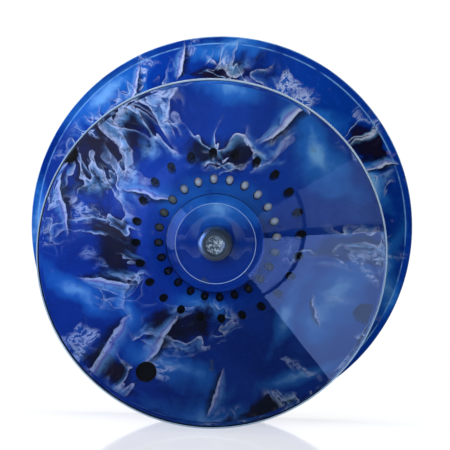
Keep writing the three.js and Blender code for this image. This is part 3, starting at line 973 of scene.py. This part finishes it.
def make_snap_rings(middle_r=5.6, wire_r=0.12, gap_deg=24, steps=72, sides=12):
    """Open wire rings that hold the shields in."""
    for side in ("front", "rear"):
        node = f"bearing_{side}_snap_ring"
        low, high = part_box(node)
        middle_y = (low.y + high.y) / 2 / MM

        def build(bm):
            rings = []
            for k in range(steps + 1):
                angle = math.radians(90 + gap_deg / 2 + (360 - gap_deg) * k / steps)
                ring = []
                for s in range(sides):
                    r = middle_r + wire_r * math.cos(TAU * s / sides)
                    y = middle_y + 0.8 * wire_r * math.sin(TAU * s / sides)
                    ring.append(bm.verts.new((r * math.cos(angle) * MM, y * MM, r * math.sin(angle) * MM)))
                rings.append(ring)
            skin(bm, rings, closed=False)
            bm.faces.new(rings[0])
            bm.faces.new(rings[-1])

        piece = new_piece(f"{side}_wire_ring", build)
        place(finish_with(piece, BEARING_STEEL), "bearing_ring", "bearing_steel", node)


def make_balls(steps=16):
    """Balls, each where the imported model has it."""
    for k in range(BALL_COUNT):
        low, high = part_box(f"bearing_ball_{k + 1}")
        centre = (low + high) / 2

        def build(bm):
            bmesh.ops.create_uvsphere(bm, u_segments=2 * steps, v_segments=steps, radius=BALL_R * MM,
                                      matrix=Matrix.Translation(centre))

        piece = new_piece(f"ball_{k + 1}", build)
        place(finish_with(piece, BEARING_STEEL), "ball_cage", "bearing_steel", f"bearing_ball_{k + 1}")


# ------------------------------------------------------------------ stage, lights, camera

VIEW_DISTANCE_MM = 1000
FRAME_WIDTH_MM = 66.6                           # what the square frame takes in at the axle
CAMERA_YAW_DEG, CAMERA_RISE_DEG, CAMERA_ROLL_DEG = 1.85, 5.6, 1.66
AIM_RIGHT_MM, AIM_UP_MM = 1.2, 2.2


def make_camera():
    """A long lens, a little above the axle's line."""
    yaw, rise = math.radians(CAMERA_YAW_DEG), math.radians(CAMERA_RISE_DEG)
    towards = Vector((math.sin(yaw) * math.cos(rise), -math.cos(yaw) * math.cos(rise), math.sin(rise)))
    roll = Matrix.Rotation(math.radians(CAMERA_ROLL_DEG), 3, "Z")
    turn = (-towards).to_track_quat("-Z", "Y").to_matrix() @ roll
    aim = turn @ Vector((AIM_RIGHT_MM, AIM_UP_MM, 0))
    data = bpy.data.cameras.new("camera")
    data.lens = data.sensor_width * VIEW_DISTANCE_MM / FRAME_WIDTH_MM
    data.clip_end = 10
    camera = bpy.data.objects.new("camera", data)
    camera.matrix_world = Matrix.Translation((aim + towards * VIEW_DISTANCE_MM) * MM) @ turn.to_4x4()
    bpy.context.scene.collection.objects.link(camera)
    bpy.context.scene.camera = camera


FLOOR_TILT_DEG = 3.75                           # the floor touches the two unequal rims
FLOOR_DROP = 0.05


def seen_straight(tree):
    """1 for what the camera sees directly or straight through clear plastic, otherwise 0."""
    ray = put(tree, "ShaderNodeLightPath").outputs
    bounced = math_node(tree, "ADD", ray["Glossy Depth"], ray["Diffuse Depth"], clamp=True)
    unbounced = math_node(tree, "SUBTRACT", 1.0, bounced)
    through = math_node(tree, "MULTIPLY", ray["Is Transmission Ray"], unbounced)
    return math_node(tree, "MAXIMUM", ray["Is Camera Ray"], through)


def floor_material():
    """White board with a soft gloss, dimmer where the yo-yo mirrors it."""
    material = new_material("white_gloss_board")
    tree = material.node_tree
    straight = seen_straight(tree)
    grey = math_node(tree, "MULTIPLY_ADD", straight, 0.33, 0.17)
    tone = put(tree, "ShaderNodeCombineColor", None, Red=grey, Green=grey, Blue=grey).outputs[0]
    matt = put(tree, "ShaderNodeBsdfDiffuse", None, Color=tone)
    mirror = put(tree, "ShaderNodeBsdfGlossy", None, Color=(1, 1, 1, 1), Roughness=0.05)
    board = put(tree, "ShaderNodeMixShader", None, Fac=0.3, i1=matt.outputs[0], i2=mirror.outputs[0])
    glow = put(tree, "ShaderNodeEmission", None, Color=(1, 1, 1, 1),
               Strength=math_node(tree, "MULTIPLY", straight, 0.46))
    shader = put(tree, "ShaderNodeAddShader", None, i0=board.outputs[0], i1=glow.outputs[0])
    surface_output(tree, shader.outputs[0])
    return material


def make_floor():
    """A white board under the yo-yo, tilted so that it meets both rims."""
    left, right, near, far = -70, 110, -100, 260

    def build(bm):
        slope = math.tan(math.radians(FLOOR_TILT_DEG))
        corners = ((left, near), (right, near), (right, far), (left, far))
        heights = [-REAR_RIM_R - FLOOR_DROP + (HALF_WIDTH - y) * slope for _, y in corners]
        bm.faces.new([bm.verts.new((x * MM, y * MM, z * MM)) for (x, y), z in zip(corners, heights)])

    floor = new_piece("floor", build)
    finish_with(floor, floor_material())


def area_light(name, place_mm, size_mm, power, tint=(1, 1, 1), seen_in_gloss=True):
    data = bpy.data.lights.new(name, "AREA")
    data.shape = "RECTANGLE"
    data.size, data.size_y = size_mm[0] * MM, size_mm[1] * MM
    data.energy = power
    data.color = tint
    light = bpy.data.objects.new(name, data)
    light.location = Vector(place_mm) * MM
    light.rotation_euler = (-Vector(place_mm)).to_track_quat("-Z", "Y").to_euler()
    light.visible_glossy = seen_in_gloss
    light.visible_transmission = seen_in_gloss
    light.visible_camera = False
    bpy.context.scene.collection.objects.link(light)


def make_lights():
    """A blue softbox that shows in the gloss, and two lamps that do not."""
    area_light("left_softbox", (-600, -130, 120), (420, 600), 3.3, tint=(0.28, 0.45, 1.0))
    area_light("front_fill", (-150, -1100, 240), (700, 700), 8.3, seen_in_gloss=False)
    area_light("floor_light", (0, 60, 1400), (1400, 1400), 15.0, seen_in_gloss=False)


def make_world():
    """White where it is seen straight and behind the yo-yo, pale low in front for gloss, else dim."""
    world = bpy.data.worlds.new("studio")
    world.use_nodes = True
    tree = world.node_tree
    tree.nodes.clear()
    _, depth, height = put(tree, "ShaderNodeSeparateXYZ", None,
                           Vector=put(tree, "ShaderNodeTexCoord").outputs["Generated"]).outputs
    ray = put(tree, "ShaderNodeLightPath").outputs
    sharp_ray = math_node(tree, "MAXIMUM", ray["Is Glossy Ray"], ray["Is Transmission Ray"])
    behind = math_node(tree, "MULTIPLY", step_between(tree, depth, 0.6, 0.8), sharp_ray)
    straight = seen_straight(tree)
    low_front = math_node(tree, "MULTIPLY", step_between(tree, depth, -0.7, -0.9),
                          step_between(tree, height, -0.1, -0.2))
    in_front = math_node(tree, "MULTIPLY", low_front, ray["Is Glossy Ray"])
    dim = put(tree, "ShaderNodeBackground", None, Color=(0.6, 0.75, 1.0, 1), Strength=0.06)
    pale = put(tree, "ShaderNodeBackground", None, Color=(0.6, 0.8, 1.0, 1), Strength=1.2)
    white = put(tree, "ShaderNodeBackground", None, Color=(1, 1, 1, 1), Strength=1.05)
    room = put(tree, "ShaderNodeMixShader", None, Fac=in_front, i1=dim.outputs[0], i2=pale.outputs[0])
    seen = math_node(tree, "MAXIMUM", behind, straight)
    both = put(tree, "ShaderNodeMixShader", None, Fac=seen, i1=room.outputs[0], i2=white.outputs[0])
    put(tree, "ShaderNodeOutputWorld", None, Surface=both.outputs[0])
    bpy.context.scene.world = world


# ------------------------------------------------------------------ making

make_camera()
make_world()
make_lights()
make_floor()

make_front_half()
make_rear_half()
make_rear_cap()
make_response_ring()
make_spacers()
make_axle_stud()
make_rear_nut()
make_races()
make_shields()
make_snap_rings()
make_balls()
finish_with(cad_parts["bearing_cage"], BRASS)

bpy.context.scene.view_settings.view_transform = "Standard"
